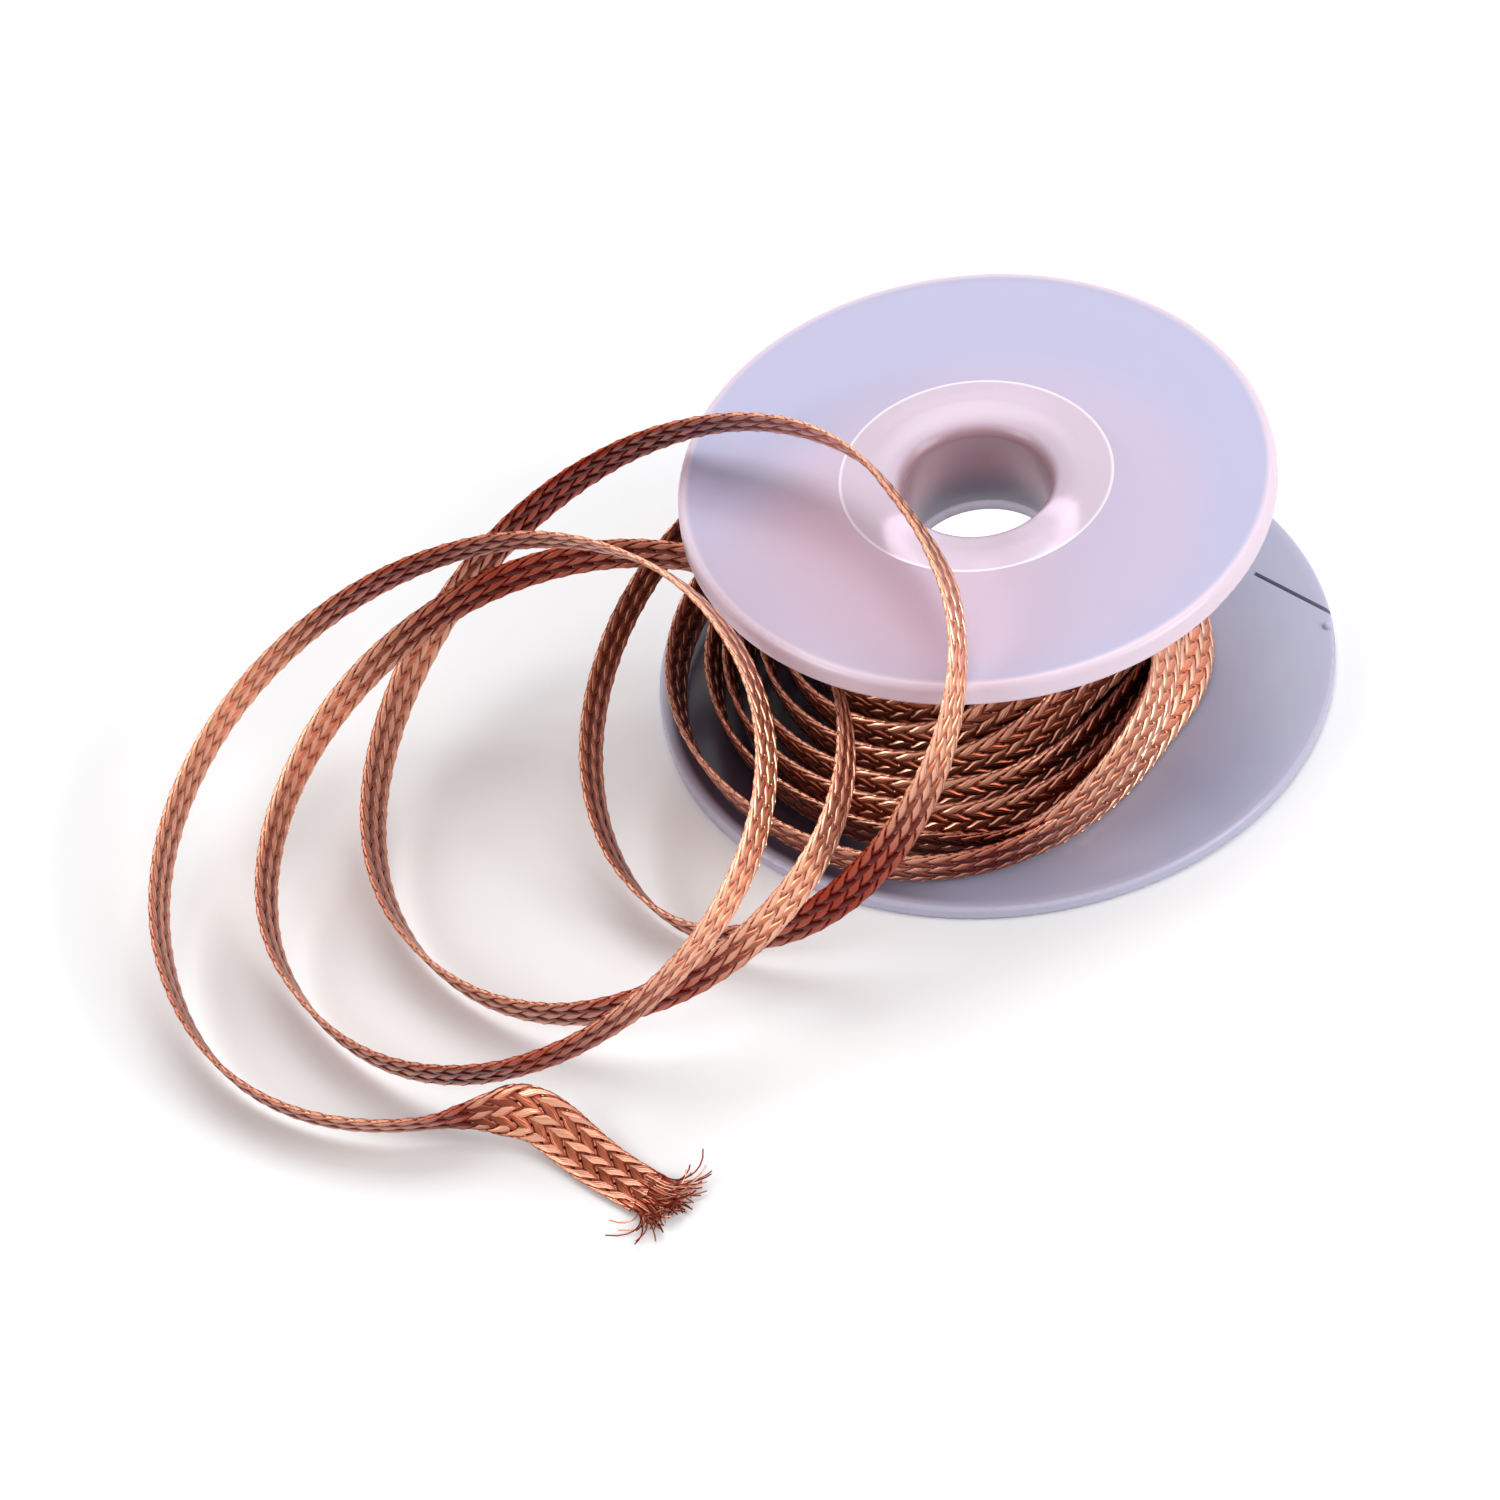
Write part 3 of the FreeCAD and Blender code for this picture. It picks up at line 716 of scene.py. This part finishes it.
# Lit copper, copper in painted shade, and darker copies for the family that mirrors the dark.
COPPER_BRIGHT = (1.0, 0.56, 0.38)
COPPER_BRIGHT_TURNED = (1.0, 0.36, 0.20)
COPPER_PAINTED_SHADE = (0.36, 0.035, 0.012)
COPPER_PAINTED_SHADE_TURNED = (0.10, 0.005, 0.002)
COPPER_CREVICE_SHADE = (0.20, 0.009, 0.004)


def woven_copper():
    """Copper that follows the weave of the braid."""
    finish = Finish("woven_copper", metallic=1.0, roughness=0.32)
    high, sideways, way = finish.kept("weave")
    # The tone mixes copper in painted shade with lit copper.
    tone = (way * way).power(0.5) - 1.0
    facing = tone.colours(COPPER_PAINTED_SHADE, COPPER_BRIGHT)
    turned = tone.power(3).colours(COPPER_PAINTED_SHADE_TURNED, COPPER_BRIGHT_TURNED)
    body = way.ramp(-0.5, 0.5).colours(turned, facing)
    # A bundle goes to deep red where it lies low in the weave: painted shade.
    finish.set("Base Color", high.ramp(-0.6, 0.7).colours(COPPER_CREVICE_SHADE, body))
    wires = (sideways * (2 * math.pi * WIRES_PER_BUNDLE)).sine()
    finish.bump(wires, 0.3, 0.03 * MM)
    return finish.material


def plain_copper(name, colour, roughness):
    """Copper for what lies deep in the winding; its dark colour there is painted shade."""
    return Finish(name, base_color=colour, metallic=1.0, roughness=roughness).material


# %% [markdown]
# The flanges are milky plastic that lets a little light through. In the photograph the upper one
# is lavender with a pink cloud, where copper shows through, and the lower one is blue grey and
# dark to the left, in the shade under the slack turns. Both clouds are painted on the plastic here,
# by place: the pink as copper seen through it, the dark as painted shade.

# %% Milky plastic
LAVENDER = (0.52, 0.51, 0.70)
PINK = (0.70, 0.52, 0.64)
RIM_PINK = (0.86, 0.70, 0.80)


def milky(name, **settings):
    """Glossy plastic that lets some light through."""
    finish = Finish(name, roughness=0.25, **settings)
    finish.set("Transmission Weight", 0.25)
    finish.set("IOR", 1.46)
    return finish


def distance(x, y, centre):
    """How far a shader place is from a centre in millimetres, in metres."""
    across = x - centre[0] * MM
    along = y - centre[1] * MM
    return (across * across + along * along).power(0.5)


def top_plastic():
    """The upper flange: lavender, with pink over the hub and to the lower left, and a pale rim."""
    finish = milky("top_plastic")
    x, y, z = finish.place()
    cloud = (finish.noise(9.0) - 0.5) * (6 * MM)
    over_hub = (distance(x, y, (0.5, -3.5)) + cloud * 0.4).ramp(16 * MM, 11 * MM)
    over_left = (distance(x, y, (-9.0, -9.0)) + cloud).ramp(17 * MM, 6 * MM)
    pink = over_hub * 0.4 + over_left * 0.6
    rim = distance(x, y, (0, 0)).ramp(17.9 * MM, 18.4 * MM)
    finish.set("Base Color", rim.colours(pink.colours(LAVENDER, PINK), RIM_PINK))
    return finish.material


def hub_plastic():
    """The sleeve: pale pink with a fine pale line round it, and a bore in painted shade, grey deep
    down and brown higher up, where copper shows through.
    """
    finish = milky("hub_plastic")
    x, y, z = finish.place()
    from_axis = distance(x, y, (0, 0))
    face = from_axis.ramp(8.35 * MM, 8.5 * MM).colours((0.68, 0.55, 0.66), (0.92, 0.84, 0.90))
    # The bore wall is painted shade: grey low down, brownish higher up.
    wall = z.ramp(11.5 * MM, 14.5 * MM).colours((0.20, 0.19, 0.23), (0.40, 0.24, 0.28))
    bore = from_axis.ramp(5.3 * MM, 4.7 * MM)
    finish.set("Base Color", bore.colours(face, wall))
    return finish.material


def base_plastic():
    """The lower flange: blue grey, painted shade on its left, a paler lip, a white post top that glows
    as painted light.
    """
    finish = milky("base_plastic")
    x, y, z = finish.place()
    lip = distance(x, y, (0, 0)).ramp(20.6 * MM, 21.3 * MM)
    cloud = finish.noise(14.0).ramp(0.3, 0.7)
    body = cloud.colours((0.44, 0.46, 0.62), (0.56, 0.57, 0.72))
    # Painted shade on the left, under the slack turns.
    body = x.ramp(-3 * MM, -13 * MM).colours(body, (0.055, 0.045, 0.08))
    body = lip.colours(body, (0.60, 0.58, 0.74))
    # The post top is painted white and made to glow though it is no lamp: painted light.
    post = z.ramp(8.0 * MM, 9.5 * MM)
    finish.set("Base Color", post.colours(body, (1.0, 1.0, 1.0)))
    finish.set("Emission Color", post.colours((0, 0, 0), (1.0, 1.0, 1.0)))
    finish.set("Emission Strength", 0.9)
    return finish.material


# %% [markdown]
# Every piece gets its finish. What lies deep in the winding is plain dark copper, painted shade.

# %% Dressing the pieces
copper = woven_copper()
# Dark red copper where the winding lies deep: painted shade.
painted_shade_copper = plain_copper("painted_shade_copper", (0.40, 0.06, 0.025), 0.45)


def dress(piece, material):
    """Gives a piece one material."""
    piece.data.materials.clear()
    piece.data.materials.append(material)


for piece in (free_braid, outer_turns, deeper_turns, frayed):
    dress(piece, copper)
dressed = {
    "lower_flange": base_plastic(), "hub_sleeve": hub_plastic(), "upper_flange": top_plastic(),
}
for name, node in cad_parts.items():
    dress(node, dressed.get(name, painted_shade_copper))
print("materials:", len(bpy.data.materials))

# %% [markdown]
# The spool stands on white, lit by three soft lamps from behind and above, from the right and from
# the left. The sky is an even pale grey, and brighter where copper and plastic mirror it, which
# Light Path decides.

# %% Floor and light
SKY_COLOUR = (0.95, 0.97, 1.0, 1)
SKY_STRENGTH = 0.6
MIRRORED_SKY_STRENGTH = 1.2
bpy.ops.object.select_all(action="DESELECT")
bpy.ops.mesh.primitive_plane_add(size=3, location=(0, 0, 0))
floor = bpy.context.active_object
floor.name = "floor"
floor_material = Finish("floor", base_color=(0.85, 0.85, 0.85), roughness=0.8).material
dress(floor, floor_material)
world = bpy.data.worlds.new("world")
scene.world = world
world.use_nodes = True
nodes = world.node_tree.nodes
links = world.node_tree.links
sky = nodes["Background"]
sky.inputs["Color"].default_value = SKY_COLOUR
sky.inputs["Strength"].default_value = SKY_STRENGTH
mirrored_sky = nodes.new("ShaderNodeBackground")
mirrored_sky.inputs["Strength"].default_value = MIRRORED_SKY_STRENGTH
light_path = nodes.new("ShaderNodeLightPath")
mixed_sky = nodes.new("ShaderNodeMixShader")
links.new(light_path.outputs["Is Glossy Ray"], mixed_sky.inputs[0])
links.new(sky.outputs[0], mixed_sky.inputs[1])
links.new(mirrored_sky.outputs[0], mixed_sky.inputs[2])
links.new(mixed_sky.outputs[0], nodes["World Output"].inputs[0])


def soft_lamp(name, place, size, brightness):
    """A square lamp that faces the spool; brightness is what its face shows."""
    data = bpy.data.lights.new(name, "AREA")
    data.size = size
    data.energy = brightness * math.pi * size * size
    lamp = bpy.data.objects.new(name, data)
    scene.collection.objects.link(lamp)
    lamp.location = place
    lamp.rotation_euler = Vector(place).to_track_quat("Z", "Y").to_euler()


soft_lamp("overhead", (0.05, 0.25, 0.65), 0.5, 3.0)
soft_lamp("right", (0.5, -0.25, 0.32), 0.35, 5.5)
soft_lamp("left", (-0.55, -0.2, 0.4), 0.3, 5.0)
print("lamps:", len(bpy.data.lights))
